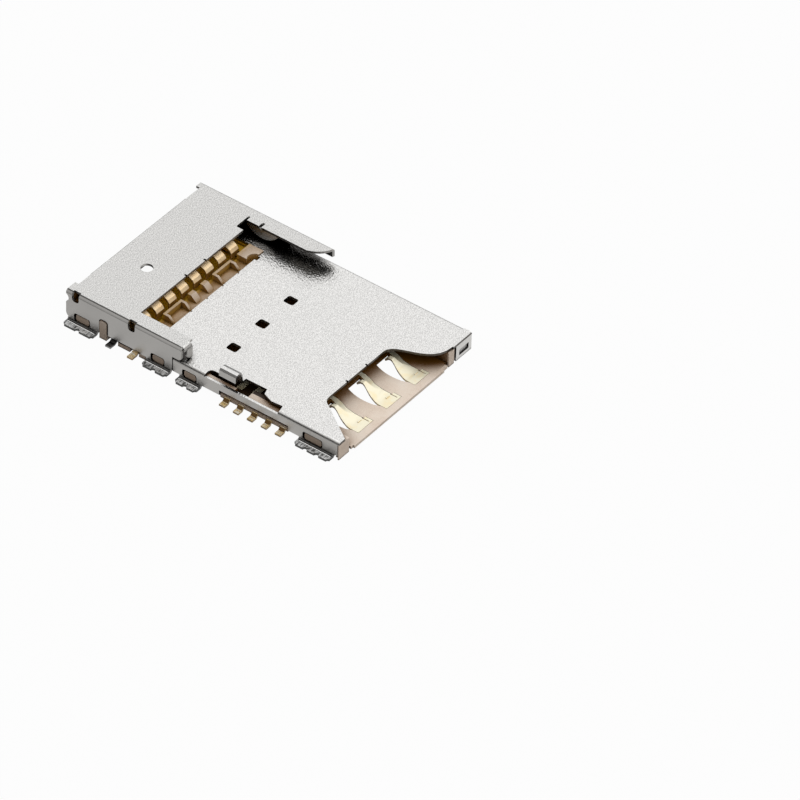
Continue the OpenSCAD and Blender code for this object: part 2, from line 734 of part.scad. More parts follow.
// Plan of a SIM spring: wide at its base, drawn in by a curve on each side to a narrow contact point
module sim_spring_plan(room) {
    base = [sim_base_x[0] - room, sim_slit_x[0] + room];
    tip = grown(sim_tip_x, room);
    neck = [for (n = sim_neck) n - sim_base_l];
    polygon(concat(
        [[base[1], -sim_base_l - room], [base[1], neck[1]]],
        bezier([base[1], neck[2]], [base[1] - 0.04, -0.9], [tip[1], -0.85], [tip[1], -0.45], 5),
        [[tip[1], 0.35], [tip[0], 0.35]],
        bezier([tip[0], -0.05], [tip[0] - 0.06, -0.45], [base[0] + 0.05, -0.7], [base[0], neck[0]], 7),
        [[base[0], -sim_base_l - room]]
    ));
}

// Stamped contact of the lower slot: track in the floor, spring arm with a half-moon mark, and folded lead
module sim_contact_shape(i, room) {
    mid = floor_z - lead_t / 2;
    tip = sim_tip_z - lead_t / 2;
    slit_y = [sim_slit_y[0] - sim_base_l, sim_slit_y[1] - sim_base_l];
    difference() {
        along_z([track_z - room, floor_z]) sim_track(i, room);
        if (room == 0) translate([sim_x(i), sim_y(i), 0]) box(sim_slit_x, slit_y, [0, far_z]);
    }
    translate([sim_x(i), sim_y(i), 0]) {
        intersection() {
            along_x([-1, 1]) strip([
                [-sim_base_l, mid], [-sim_base_l + sim_rise[0], mid], [-sim_base_l + sim_rise[1], mid + 0.03],
                [-0.25, tip - 0.05], [-0.1, tip], [0.1, tip - 0.02], [0.34, tip - 0.22]
            ], lead_t + 2 * room);
            along_z([0, far_z]) sim_spring_plan(room);
        }
        along_z([mid, floor_z + sim_mark_r / 4]) intersection() {
            translate([0.13, 0.5 - sim_base_l]) circle(sim_mark_r);
            rect([-1, 1], [0.5 - sim_base_l, 0]);
        }
    }
    if (i == 6) sim_lead(sim_tail(i), room);
    else on_right() sim_lead(sim_tail(i), room);
}

// Lead that drops from the floor to the board outside the right wall
module sim_lead(y, room) {
    mid = floor_z - lead_t / 2;
    along_y(about(y, lead_w / 2 + room)) strip([
        [core_x, mid], [core_x + 0.14, mid], [wall_x + 0.1, lead_t / 2], [wall_x + lead_reach, lead_t / 2]
    ], lead_t + 2 * room);
}

module sim_contact(i) color(gold) sim_contact_shape(i, 0);

// Blades of the insertion switch beside the upper slot
module switch_blade(y, room) {
    mid = floor_z - lead_t / 2;
    along_y(about(y, lead_w / 2 + room)) strip([
        [-wall_x - lead_reach, lead_t / 2], [-wall_x - 0.05, lead_t / 2], [-core_x + 0.1, mid],
        [switch_x - 0.1, mid], [switch_x, mid + 0.1], [switch_x, switch_z]
    ], lead_t + 2 * room);
}

module detect_spring_shape(room) {
    y = detect_y[0];
    switch_blade(y, room);
    along_z([switch_z - finger_h - room, switch_z]) strip([
        [switch_x, y - lead_w / 2 - room], [switch_x, y + finger_l[0]],
        [switch_x + finger_bow, y + finger_l[1]], [switch_x, y + finger_l[2] + room]
    ], lead_t + 2 * room);
}

module detect_terminal_shape(room) {
    switch_blade(detect_y[1], room);
}

module detect_spring() color(gold) detect_spring_shape(0);

module detect_terminal() color(tin) detect_terminal_shape(0);

housing();
memory_insulator();
front_cover();
rear_cover();
detect_spring();
detect_terminal();
for (i = [1:8]) memory_contact(i);
for (i = [1:6]) sim_contact(i);
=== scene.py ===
import math

import bpy
import numpy as np
from mathutils import Matrix, Vector


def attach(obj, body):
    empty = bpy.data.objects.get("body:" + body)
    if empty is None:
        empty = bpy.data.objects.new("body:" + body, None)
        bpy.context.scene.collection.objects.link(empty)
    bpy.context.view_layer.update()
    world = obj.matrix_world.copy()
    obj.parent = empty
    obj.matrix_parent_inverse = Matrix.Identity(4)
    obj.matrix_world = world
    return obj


mm = 0.001
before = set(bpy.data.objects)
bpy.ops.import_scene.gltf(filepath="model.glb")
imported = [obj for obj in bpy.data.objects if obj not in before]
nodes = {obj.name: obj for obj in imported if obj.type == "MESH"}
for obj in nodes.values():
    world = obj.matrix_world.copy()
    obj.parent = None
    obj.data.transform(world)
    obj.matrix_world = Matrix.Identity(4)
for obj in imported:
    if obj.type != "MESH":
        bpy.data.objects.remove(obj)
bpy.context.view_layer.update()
print("frame loaded:", len(nodes), "nodes")

scene = bpy.context.scene
scene.view_settings.view_transform = "Standard"

# camera turned as the photograph was taken, angles in degrees and lengths in mm
cameraSet = {
    "azimuth": -54.145, "elevation": 40.718, "roll": 1.897,
    "distance": 429.947, "target": (0.068, -8.895, 0.0),
    "focalPixels": 7922.488, "imagePixels": 800, "sensor": 36.0,
    "clipStart": 5.0, "clipEnd": 20000.0,
}


def makeCamera(s):
    az, el, roll = (math.radians(s[k]) for k in ("azimuth", "elevation", "roll"))
    back = Vector((math.sin(az) * math.cos(el), -math.cos(az) * math.cos(el), math.sin(el)))
    right = Vector((math.cos(az), math.sin(az), 0.0))
    up = back.cross(right)
    rightTurned = right * math.cos(roll) + up * math.sin(roll)
    upTurned = up * math.cos(roll) - right * math.sin(roll)
    data = bpy.data.cameras.new("photoCamera")
    data.sensor_fit = "HORIZONTAL"
    data.sensor_width = s["sensor"]
    data.lens = s["focalPixels"] * s["sensor"] / s["imagePixels"]
    data.clip_start = s["clipStart"] * mm
    data.clip_end = s["clipEnd"] * mm
    cam = bpy.data.objects.new("photoCamera", data)
    scene.collection.objects.link(cam)
    turn = Matrix((rightTurned, upTurned, back)).transposed().to_4x4()
    place = (Vector(s["target"]) + back * s["distance"]) * mm
    cam.matrix_world = Matrix.Translation(place) @ turn
    scene.camera = cam


makeCamera(cameraSet)
print("camera set")

# small helpers for shader nodes


def addNode(tree, kind, links=None, **values):
    node = tree.nodes.new(kind)
    for key, value in values.items():
        if key in node.inputs:
            node.inputs[key].default_value = value
        else:
            setattr(node, key, value)
    for key, source in (links or {}).items():
        tree.links.new(source, node.inputs[key])
    return node


def newMaterial(name):
    mat = bpy.data.materials.new(name)
    mat.use_nodes = True
    tree = mat.node_tree
    tree.nodes.clear()
    out = addNode(tree, "ShaderNodeOutputMaterial")
    shader = addNode(tree, "ShaderNodeBsdfPrincipled")
    tree.links.new(shader.outputs[0], out.inputs["Surface"])
    return mat, tree, shader


def linkShader(tree, shader, links):
    for key, source in links.items():
        tree.links.new(source, shader.inputs[key])


def objectPlace(tree):
    return addNode(tree, "ShaderNodeTexCoord").outputs["Object"]


def axesNode(tree, source):
    return addNode(tree, "ShaderNodeSeparateXYZ", {0: source}).outputs


def faceNormal(tree):
    return axesNode(tree, addNode(tree, "ShaderNodeNewGeometry").outputs["True Normal"])


def noiseNode(tree, place, scale, detail):
    return addNode(tree, "ShaderNodeTexNoise", {"Vector": place}, Scale=scale, Detail=detail).outputs["Fac"]


def stretched(tree, place, scale):
    return addNode(tree, "ShaderNodeMapping", {"Vector": place}, Scale=scale).outputs[0]


def bumpNode(tree, height, strength, distance):
    node = addNode(tree, "ShaderNodeBump", {"Height": height}, Strength=strength, Distance=distance * mm)
    return node.outputs[0]


def mathNode(tree, how, a, b=None, clamp=False):
    node = tree.nodes.new("ShaderNodeMath")
    node.operation = how
    node.use_clamp = clamp
    for k, v in enumerate((a, b)):
        if v is None:
            continue
        if isinstance(v, (int, float)):
            node.inputs[k].default_value = v
        else:
            tree.links.new(v, node.inputs[k])
    return node.outputs[0]


def negated(tree, source):
    return mathNode(tree, "MULTIPLY", source, -1.0)


def inverted(tree, source):
    return mathNode(tree, "SUBTRACT", 1.0, source)


def rampNode(tree, source, stops):
    node = tree.nodes.new("ShaderNodeValToRGB")
    ramp = node.color_ramp
    while len(ramp.elements) < len(stops):
        ramp.elements.new(0.5)
    for element, (place, colour) in zip(ramp.elements, stops):
        element.position = place
        element.color = (*colour, 1.0)
    tree.links.new(source, node.inputs[0])
    return node.outputs[0]


def mixColour(tree, factor, a, b, how="MIX"):
    node = tree.nodes.new("ShaderNodeMix")
    node.data_type = "RGBA"
    node.blend_type = how
    for key, v in (("Factor", factor), ("A", a), ("B", b)):
        socket = [i for i in node.inputs if i.name == key and (key == "Factor" or i.type == "RGBA")][0]
        if isinstance(v, (int, float)):
            socket.default_value = v
        elif isinstance(v, tuple):
            socket.default_value = (*v, 1.0)
        else:
            tree.links.new(v, socket)
    return [o for o in node.outputs if o.type == "RGBA"][0]


def stepNode(tree, source, low, high):
    # 0 below low, 1 above high, straight between them
    shifted = mathNode(tree, "SUBTRACT", source, low)
    return mathNode(tree, "DIVIDE", shifted, high - low, clamp=True)


def riseNode(tree, source, start, width):
    # the same for a place, from start over width, both in mm
    return stepNode(tree, source, start * mm, (start + width) * mm)


def opennessNode(tree, reach, low, high):
    # 1 out in the open, 0 deep in a slot or under a cover
    seen = addNode(tree, "ShaderNodeAmbientOcclusion", Distance=reach * mm, samples=8)
    return stepNode(tree, seen.outputs["AO"], low, high)


def variedNode(tree, base, source, share):
    # base on average, with share of a noise whose middle is a half
    return mathNode(tree, "ADD", mathNode(tree, "MULTIPLY", source, share), base - share / 2)


def scaled(colour, factor):
    return tuple(min(1.0, c * factor) for c in colour)


def grey(level):
    return (level, level, level)


# sheet metal: orange-peel grain on the flat tops, walls painted greyer than the tops as shade, streaky solder
# tin on the feet;
# a Turn gives the values of a face's normal between which a look comes in, a Span those of openness
rearSheet = {
    "name": "rearSheet", "top": (0.66, 0.653, 0.638), "wall": (0.36, 0.35, 0.335), "wallSpread": (0.93, 1.04),
    "end": (0.38, 0.372, 0.358), "recess": (0.38, 0.372, 0.358), "recessStart": -9.27, "recessBlend": 0.01,
    "under": (0.16, 0.15, 0.135), "inner": (0.09, 0.085, 0.08), "railEdge": 5.5, "railBlend": 0.05,
    "edge": (0.36, 0.35, 0.335), "leftEdgeShade": (0.06, 0.056, 0.052),
    "edgeHeights": (2.0, 2.2), "edgeBlend": 0.005,
    "fold": (0.035, 0.033, 0.03), "foldShare": 0.92,
    "foldStart": (0.79, 0.87), "foldEnd": (0.975, 0.995), "foldLeft": (0.14, 0.20),
    "deep": (0.04, 0.037, 0.034), "depthReach": 1.3, "depthSpan": (0.02, 0.20), "lidSpan": (0.12, 0.40),
    "creaseReach": 0.22, "creaseSpan": (0.35, 0.85),
    "upTurn": (0.80, 0.92), "downTurn": (0.5, 0.8), "sideTurn": (0.6, 0.9), "tiltTurn": (0.10, 0.25),
    "halfWidth": 6.0, "footStart": 5.99, "footBlend": 0.06, "footReach": 0.5,
    "footTop": 0.27, "footFade": 0.1,
    "footDark": (0.16, 0.16, 0.155), "footLight": (1.0, 1.0, 0.99), "footSideShade": (0.10, 0.10, 0.095),
    "footShadeBands": ((0.0, 0.06), (0.20, 0.09), (0.27, 1.0), (0.37, 1.0), (0.46, 0.70), (1.0, 1.0)),
    "footTurn": (0.2, 0.5), "footRough": 0.22, "footMetal": 0.35,
    "streakStretch": (0.25, 1.0, 0.4), "streakScale": 9000.0, "streakDetail": 1.0,
    "streakStops": (0.36, 0.56), "streakShare": 0.15,
    "grainTurn": 38.5, "grainStretch": (1.55, 0.76, 1.0), "grainSize": 0.095, "grainDetail": 1.5,
    "grainHeight": 0.027, "grainBump": 1.0,
    "grainTop": 9.0, "grainFade": 0.05, "grainInside": 0.5, "grainLeast": 0.06,
    "speckScale": 1.5, "speckDetail": 1.0, "speckle": 0.21, "speckLift": 0.7, "speckStops": (0.36, 0.64),
    "cloudScale": 450.0, "cloudDetail": 3.0, "cloudStops": (0.3, 0.7), "cloudRough": 0.05,
    "topRough": 0.16, "wallRough": 0.33,
}
frontSheet = dict(
    rearSheet, name="frontSheet", top=(0.755, 0.747, 0.732), wall=(0.39, 0.378, 0.36), end=(0.60, 0.59, 0.57),
    recess=(0.36, 0.35, 0.34), edge=(0.09, 0.08, 0.07), leftEdgeShade=(0.09, 0.08, 0.07), edgeHeights=(1.03, 1.2),
    foldShare=0.0, grainTop=1.25, speckle=0.18, lidSpan=(0.52, 0.78), depthSpan=(0.08, 0.34),
)


def makeTinSheet(s):
    mat, tree, shader = newMaterial(s["name"])
    place = objectPlace(tree)
    position = axesNode(tree, place)
    normal = faceNormal(tree)
    upward = stepNode(tree, normal["Z"], *s["upTurn"])
    downward = stepNode(tree, negated(tree, normal["Z"]), *s["downTurn"])
    endways = stepNode(tree, mathNode(tree, "ABSOLUTE", normal["Y"]), *s["sideTurn"])
    leftward = stepNode(tree, negated(tree, normal["X"]), *s["sideTurn"])
    reach = mathNode(tree, "ABSOLUTE", position["X"])
    # faces turned to the middle of the part: normal and place along X have opposite signs
    facing = mathNode(tree, "MULTIPLY", normal["X"], mathNode(tree, "SIGN", position["X"]))
    inward = stepNode(tree, negated(tree, facing), *s["sideTurn"])
    inRail = riseNode(tree, reach, s["railEdge"], s["railBlend"])
    # upright cut edges of the flat plate: between its two faces, and not on its folds
    blend = s["edgeBlend"]
    cutLow, cutHigh = (riseNode(tree, position["Z"], z - blend, blend) for z in s["edgeHeights"])
    tilt = stepNode(tree, mathNode(tree, "ABSOLUTE", normal["Z"]), *s["tiltTurn"])
    cutEdgeShade = mathNode(tree, "SUBTRACT", mathNode(tree, "SUBTRACT", cutLow, cutHigh), tilt, clamp=True)
    recessShadeMask = riseNode(tree, position["Y"], s["recessStart"], s["recessBlend"])
    # the feet lie outside the walls and under their lower edge
    outward = riseNode(tree, reach, s["footStart"], s["footBlend"])
    fade = s["footFade"] * s["footTop"]
    high = riseNode(tree, position["Z"], s["footTop"] - fade, fade)
    foot = mathNode(tree, "MULTIPLY", outward, inverted(tree, high))

    # the sheet's grain is drawn out along its rolling direction
    grainMap = addNode(tree, "ShaderNodeMapping", {"Vector": place}, vector_type="TEXTURE",
                       Rotation=(0, 0, math.radians(s["grainTurn"])), Scale=s["grainStretch"])
    rolled = grainMap.outputs[0]
    grainScale = 1 / (s["grainSize"] * mm)
    grain = noiseNode(tree, rolled, grainScale, s["grainDetail"])
    speck = noiseNode(tree, rolled, s["speckScale"] * grainScale, s["speckDetail"])
    cloud = noiseNode(tree, place, s["cloudScale"], s["cloudDetail"])
    streaked = stretched(tree, place, s["streakStretch"])
    streak = noiseNode(tree, streaked, s["streakScale"], s["streakDetail"])

    # painted shade: the walls take a darker base colour than the tops, with a random cloud in it
    shadedWallTones = [scaled(s["wall"], k) for k in s["wallSpread"]]
    shadedWallTone = rampNode(tree, cloud, list(zip(s["cloudStops"], shadedWallTones)))
    topTones = [scaled(s["top"], 1 - s["speckle"]), scaled(s["top"], 1 + s["speckLift"] * s["speckle"])]
    topTone = rampNode(tree, speck, list(zip(s["speckStops"], topTones)))
    # streaks of the solder tin, their dark and bright partly painted reflection
    footTone = rampNode(tree, streak, list(zip(s["streakStops"], (s["footDark"], s["footLight"]))))
    # across a foot: painted shade, dark on the bend and light across the sole, with an unshaded bright ridge
    # between them
    across = riseNode(tree, reach, s["halfWidth"], s["footReach"])
    bands = rampNode(tree, across, [(at, grey(level)) for at, level in s["footShadeBands"]])
    footTone = mixColour(tree, 1.0, footTone, bands, "MULTIPLY")
    # painted shade on the foot's faces that are not turned up
    footTone = mixColour(tree, stepNode(tree, normal["Z"], *s["footTurn"]), s["footSideShade"], footTone)

    # painted light and shade: faces turned front and back get their own level, another one past recessStart
    endFaceShadeTone = mixColour(tree, recessShadeMask, s["end"], s["recess"])
    colour = mixColour(tree, endways, shadedWallTone, endFaceShadeTone)
    # painted shade on the inner faces of the rails
    colour = mixColour(tree, mathNode(tree, "MULTIPLY", inward, inRail), colour, s["inner"])
    # painted shade on the plate's upright cut edges, darkest on those facing left
    colour = mixColour(tree, cutEdgeShade, colour, mixColour(tree, leftward, s["edge"], s["leftEdgeShade"]))
    colour = mixColour(tree, upward, colour, topTone)
    # painted shade on faces turned down
    colour = mixColour(tree, downward, colour, s["under"])
    # a dark reflection is painted along the bend from the flat top to the left wall
    if s["foldShare"]:
        turned = stepNode(tree, normal["Z"], *s["foldStart"])
        flat = stepNode(tree, normal["Z"], *s["foldEnd"])
        onLeft = stepNode(tree, negated(tree, normal["X"]), *s["foldLeft"])
        foldReflectionMask = mathNode(tree, "MULTIPLY", mathNode(tree, "SUBTRACT", turned, flat, clamp=True), onLeft)
        colour = mixColour(tree, mathNode(tree, "MULTIPLY", foldReflectionMask, s["foldShare"]), colour, s["fold"])
    colour = mixColour(tree, foot, colour, footTone)
    # painted shade: dark in creases, in the depths, and on flat faces under a lid
    crease = mathNode(tree, "MAXIMUM", opennessNode(tree, s["creaseReach"], *s["creaseSpan"]), foot)
    colour = mixColour(tree, crease, s["deep"], colour)
    colour = mixColour(tree, opennessNode(tree, s["depthReach"], *s["depthSpan"]), s["deep"], colour)
    lidded = mathNode(tree, "SUBTRACT", upward, opennessNode(tree, s["depthReach"], *s["lidSpan"]))
    lidded = mathNode(tree, "SUBTRACT", lidded, foot, clamp=True)
    colour = mixColour(tree, lidded, colour, s["deep"])

    rough = mathNode(tree, "MULTIPLY", upward, s["topRough"] - s["wallRough"])
    rough = mathNode(tree, "ADD", rough, s["wallRough"])
    rough = mathNode(tree, "ADD", rough, mathNode(tree, "MULTIPLY", cloud, s["cloudRough"]))
    rough = mathNode(tree, "ADD", rough, mathNode(tree, "MULTIPLY", foot, s["footRough"]))
    metal = inverted(tree, mathNode(tree, "MULTIPLY", foot, 1 - s["footMetal"]))
    # grain on the tops, half of it on other faces between the rails, little on walls, none above grainTop
    grained = mathNode(tree, "MULTIPLY", inverted(tree, inRail), s["grainInside"])
    grained = mathNode(tree, "MAXIMUM", mathNode(tree, "MAXIMUM", upward, grained), s["grainLeast"])
    risen = riseNode(tree, position["Z"], s["grainTop"], s["grainFade"])
    grained = mathNode(tree, "MULTIPLY", grained, inverted(tree, risen))
    height = mathNode(tree, "MULTIPLY", grain, grained)
    height = mathNode(tree, "MULTIPLY", height, inverted(tree, foot))
    footHeight = mathNode(tree, "MULTIPLY", streak, s["streakShare"])
    height = mathNode(tree, "ADD", height, mathNode(tree, "MULTIPLY", footHeight, foot))
    linkShader(tree, shader, {
        "Base Color": colour, "Roughness": rough, "Metallic": metal,
        "Normal": bumpNode(tree, height, s["grainBump"], s["grainHeight"]),
    })
    return mat


# gold plate: satin faces, copper-brown sheared edges, painted shade on faces turned to the front and in the
# depths, and leads with a slope painted brown as shade and a pale sole with painted glints
paleGold = {
    "name": "paleGold", "face": (1.0, 0.935, 0.72), "shade": (1.0, 0.86, 0.55),
    "cloudScale": 1800.0, "cloudDetail": 3.0, "cloudStops": (0.30, 0.52),
    "edge": (0.16, 0.09, 0.03), "edgeTurn": (0.66, 0.9), "drop": (0.70, 0.52, 0.22), "dropTurn": (0.90, 0.98),
    "sole": (0.90, 0.64, 0.27), "paintedGlint": (1.0, 0.94, 0.78), "soleDark": 0.7, "soleStops": (0.36, 0.50, 0.60),
    "leadSlopeShade": (0.20, 0.10, 0.025), "soleTurn": (0.72, 0.95), "halfWidth": 5.8, "leadBlend": 0.1,
    "deep": (0.95, 0.76, 0.42), "shadeReach": 0.9, "shadeSpan": (0.05, 0.60),
    "drawStretch": (1.0, 0.08, 0.08), "drawScale": 24000.0, "drawDetail": 1.0,
    "drawHeight": 0.001, "drawBump": 0.5,
    "rough": 0.34, "roughShare": 0.14, "metal": 0.30, "leadMetal": 0.10,
}
deepGold = dict(
    paleGold, name="deepGold", face=(1.0, 0.76, 0.46), shade=(0.98, 0.68, 0.36), drop=(0.30, 0.15, 0.025),
    edge=(0.42, 0.24, 0.05), deep=(0.30, 0.16, 0.03), shadeSpan=(0.02, 0.16), rough=0.30, metal=0.40,
)


def makeGold(s):
    mat, tree, shader = newMaterial(s["name"])
    place = objectPlace(tree)
    position = axesNode(tree, place)
    normal = faceNormal(tree)
    sheared = stepNode(tree, mathNode(tree, "ABSOLUTE", normal["X"]), *s["edgeTurn"])
    forward = stepNode(tree, negated(tree, normal["Y"]), *s["dropTurn"])
    outward = riseNode(tree, mathNode(tree, "ABSOLUTE", position["X"]), s["halfWidth"], s["leadBlend"])
    cloud = noiseNode(tree, place, s["cloudScale"], s["cloudDetail"])
    drawn = stretched(tree, place, s["drawStretch"])
    draw = noiseNode(tree, drawn, s["drawScale"], s["drawDetail"])
    colour = rampNode(tree, cloud, list(zip(s["cloudStops"], (s["shade"], s["face"]))))
    # leads: the slope takes painted shade, the sole painted glints from a stretched noise
    soleTones = (scaled(s["sole"], s["soleDark"]), s["sole"], s["paintedGlint"])
    soleTone = rampNode(tree, draw, list(zip(s["soleStops"], soleTones)))
    leadTone = mixColour(tree, stepNode(tree, normal["Z"], *s["soleTurn"]), s["leadSlopeShade"], soleTone)
    # painted shade on faces turned to the front
    colour = mixColour(tree, forward, colour, s["drop"])
    colour = mixColour(tree, outward, colour, leadTone)
    colour = mixColour(tree, sheared, colour, s["edge"])
    # painted shade in the depths, a warm tint on the pale gold
    colour = mixColour(tree, opennessNode(tree, s["shadeReach"], *s["shadeSpan"]), s["deep"], colour)
    metal = mathNode(tree, "MULTIPLY", outward, s["leadMetal"] - s["metal"])
    linkShader(tree, shader, {
        "Base Color": colour, "Roughness": variedNode(tree, s["rough"], draw, s["roughShare"]),
        "Metallic": mathNode(tree, "ADD", metal, s["metal"]),
        "Normal": bumpNode(tree, draw, s["drawBump"], s["drawHeight"]),
    })
    return mat


# dull tin on the second switch blade, painted dark as shade on its slope and lighter on the sole
tinBlade = {
    "light": (0.24, 0.237, 0.23), "dark": (0.025, 0.024, 0.022), "soleDark": 0.4, "soleStops": (0.38, 0.58),
    "soleStart": 6.11, "soleBlend": 0.13, "rough": 0.36, "roughShare": 0.2, "metal": 1.0,
    "streakStretch": (0.3, 1.0, 0.5), "streakScale": 9000.0, "streakDetail": 2.0,
    "streakHeight": 0.008, "streakBump": 1.0,
}


def makeTinBlade(s):
    mat, tree, shader = newMaterial("tinBlade")
    place = objectPlace(tree)
    position = axesNode(tree, place)
    streaked = stretched(tree, place, s["streakStretch"])
    streak = noiseNode(tree, streaked, s["streakScale"], s["streakDetail"])
    # painted shade: the slope is dark, the sole lighter with streaks
    sole = riseNode(tree, mathNode(tree, "ABSOLUTE", position["X"]), s["soleStart"], s["soleBlend"])
    soleTones = (scaled(s["light"], s["soleDark"]), s["light"])
    soleTone = rampNode(tree, streak, list(zip(s["soleStops"], soleTones)))
    shader.inputs["Metallic"].default_value = s["metal"]
    linkShader(tree, shader, {
        "Base Color": mixColour(tree, sole, s["dark"], soleTone),
        "Roughness": variedNode(tree, s["rough"], streak, s["roughShare"]),
        "Normal": bumpNode(tree, streak, s["streakBump"], s["streakHeight"]),
    })
    return mat


# glass-filled moulding resin: warm beige with fine flecks, a slightly uneven skin, painted brown shade in the
# depths
beigeResin = {
    "name": "beigeResin", "light": (0.85, 0.72, 0.60), "dark": (0.74, 0.60, 0.48), "pale": (0.89, 0.79, 0.68),
    "toneStops": (0.32, 0.5, 0.72), "fleckScale": 14000.0, "fleckDetail": 2.0, "fleckShare": 0.4,
    "fleckHeight": 0.003, "fleckBump": 0.5, "cloudScale": 900.0, "cloudDetail": 3.0, "cloudShare": 0.6,
    "coreWidth": 5.84, "shownStart": -9.25, "shownBlend": 0.02, "shownShadeLevel": 0.76,
    "leastShown": 0.5, "leastFront": 0.7,
    "deep": (0.13, 0.052, 0.006), "shadeReach": 2.2, "shadeSpan": (0.46, 0.97),
    "glow": (0.62, 0.36, 0.022), "glowStart": 4.5, "glowEnd": 8.6, "glowBlend": 0.3,
    "glowEdge": 5.2, "glowEdgeBlend": 0.1,
    "crease": (0.03, 0.016, 0.008), "creaseReach": 0.22, "creaseSpan": (0.40, 0.85),
    "pocketX": (-5.32, -4.2), "pocketY": (-7.0, 2.1),
    "rough": 0.48, "roughShare": 0.2, "gloss": 0.5,
}
combResin = dict(
    beigeResin, name="combResin", light=(0.69, 0.575, 0.465), dark=(0.58, 0.455, 0.345),
    pale=(0.76, 0.655, 0.545), deep=(0.30, 0.155, 0.035), crease=(0.13, 0.066, 0.016),
)


def makeResin(s):
    mat, tree, shader = newMaterial(s["name"])
    place = objectPlace(tree)
    position = axesNode(tree, place)
    fleck = noiseNode(tree, place, s["fleckScale"], s["fleckDetail"])
    cloud = noiseNode(tree, place, s["cloudScale"], s["cloudDetail"])
    mixed = mathNode(tree, "MULTIPLY", fleck, s["fleckShare"])
    mixed = mathNode(tree, "ADD", mixed, mathNode(tree, "MULTIPLY", cloud, s["cloudShare"]))
    colour = rampNode(tree, mixed, list(zip(s["toneStops"], (s["dark"], s["light"], s["pale"]))))
    # painted shade: what stands out past the core shows through the metal walls and is painted darker
    reach = mathNode(tree, "ABSOLUTE", position["X"])
    walled = riseNode(tree, position["Y"], s["shownStart"], s["shownBlend"])
    shown = mathNode(tree, "MULTIPLY", riseNode(tree, reach, s["coreWidth"], s["shownBlend"]), walled)
    colour = mixColour(tree, shown, colour, grey(s["shownShadeLevel"]), "MULTIPLY")
    # gold light thrown back from the contacts warms the depths behind the comb
    behind = riseNode(tree, position["Y"], s["glowStart"], s["glowBlend"])
    beyond = riseNode(tree, position["Y"], s["glowEnd"], s["glowBlend"])
    beside = riseNode(tree, reach, s["glowEdge"], s["glowEdgeBlend"])
    inside = mathNode(tree, "SUBTRACT", behind, mathNode(tree, "MAXIMUM", beside, beyond), clamp=True)
    openness = opennessNode(tree, s["shadeReach"], *s["shadeSpan"])
    openness = mathNode(tree, "MAXIMUM", openness, mathNode(tree, "MULTIPLY", shown, s["leastShown"]))
    ahead = inverted(tree, walled)
    openness = mathNode(tree, "MAXIMUM", openness, mathNode(tree, "MULTIPLY", ahead, s["leastFront"]))
    # painted shade in the depths, tinted gold behind the comb as painted bounce light
    colour = mixColour(tree, openness, mixColour(tree, inside, s["deep"], s["glow"]), colour)
    # painted shade in creases
    colour = mixColour(tree, opennessNode(tree, s["creaseReach"], *s["creaseSpan"]), s["crease"], colour)
    # painted shade: the floor under the slot for the guide tab is painted nearly black
    bands = []
    for axis, span in (("X", s["pocketX"]), ("Y", s["pocketY"])):
        above = mathNode(tree, "GREATER_THAN", position[axis], span[0] * mm)
        below = mathNode(tree, "LESS_THAN", position[axis], span[1] * mm)
        bands.append(mathNode(tree, "MULTIPLY", above, below))
    colour = mixColour(tree, mathNode(tree, "MULTIPLY", *bands), colour, s["crease"])
    linkShader(tree, shader, {
        "Base Color": colour, "Roughness": variedNode(tree, s["rough"], fleck, s["roughShare"]),
        "Specular IOR Level": mathNode(tree, "MULTIPLY", openness, s["gloss"]),
        "Normal": bumpNode(tree, fleck, s["fleckBump"], s["fleckHeight"]),
    })
    return mat


rearSheetMat = makeTinSheet(rearSheet)
frontSheetMat = makeTinSheet(frontSheet)
simGoldMat = makeGold(paleGold)
memoryGoldMat = makeGold(deepGold)
bladeMat = makeTinBlade(tinBlade)
housingMat = makeResin(beigeResin)
combMat = makeResin(combResin)
print("materials made")

# every solid takes its finish and a small broken edge, widths in mm
edgeBreak = {"tin": 0.018, "gold": 0.012, "resin": 0.022, "segments": 2, "angle": 40, "weld": 0.0004}
finishes = {
    "rear_cover": (rearSheetMat, "tin"), "front_cover": (frontSheetMat, "tin"),
    "housing": (housingMat, "resin"), "memory_insulator": (combMat, "resin"),
    "detect_spring": (memoryGoldMat, "gold"), "detect_terminal": (bladeMat, "gold"),
    "memory_contact": (memoryGoldMat, "gold"), "sim_contact": (simGoldMat, "gold"),
}


def dressNode(obj, mat, width, s):
    obj.data.materials.clear()
    obj.data.materials.append(mat)
    weld = obj.modifiers.new("weld", "WELD")
    weld.merge_threshold = s["weld"] * mm
    bevel = obj.modifiers.new("brokenEdge", "BEVEL")
    bevel.width = width * mm
    bevel.segments = s["segments"]
    bevel.limit_method = "ANGLE"
    bevel.angle_limit = math.radians(s["angle"])
    bevel.use_clamp_overlap = True


for name, obj in nodes.items():
    mat, kind = finishes[name.rstrip("_0123456789")]
    dressNode(obj, mat, edgeBreak[kind], edgeBreak)
print("solids dressed")

# a solder bead along each foot: an ellipse across X and Z swept along Y, drawn in to a point at both ends
footBead = {
    "away": 6.165, "sole": 0.15, "halfWidth": 0.06, "height": 0.06, "taper": 8, "rings": 48, "around": 20,
    "left": ((7.345, 9.315), (2.215, 3.835), (0.145, 1.535), (-8.935, -6.665)),
    "right": ((7.345, 9.315), (3.215, 4.905), (-1.435, 0.085), (-8.935, -6.665)),
    "light": (1.0, 1.0, 0.99), "dark": (0.80, 0.795, 0.78), "toneStops": (0.36, 0.54),
    "grainSize": 0.09, "grainDetail": 2.0, "grainHeight": 0.002, "grainBump": 1.0,
    "rough": 0.18, "roughShare": 0.1, "metal": 1.0,
}


